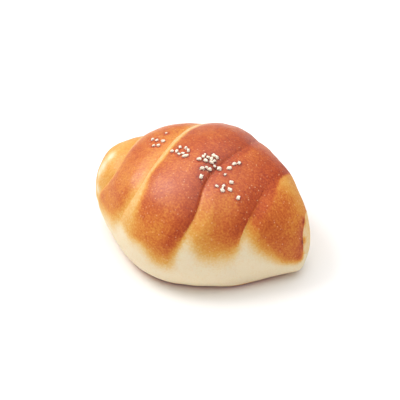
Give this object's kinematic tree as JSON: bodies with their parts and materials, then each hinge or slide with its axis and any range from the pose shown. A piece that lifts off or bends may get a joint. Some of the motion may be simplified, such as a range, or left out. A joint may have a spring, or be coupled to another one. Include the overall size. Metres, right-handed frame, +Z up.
{
  "type": "salted bread roll",
  "caption": "Plump spindle-shaped bread roll wound from one strip of dough, with a browned crust, a pale flat base and coarse salt baked on along the crown.",
  "frame": {"origin": "on the surface that the roll rests on, under the middle of its box", "axes": "+X along the roll towards its right tip as seen from the front, +Y towards the back, +Z up through the crown"},
  "size_m": [0.11, 0.0882, 0.0561],
  "materials": {
    "crust": null,
    "salt": "coarse white salt crystals, cloudy and faceted"
  },
  "bodies": {
    "root": {"roll": "crust"}
  },
  "joints": []
}
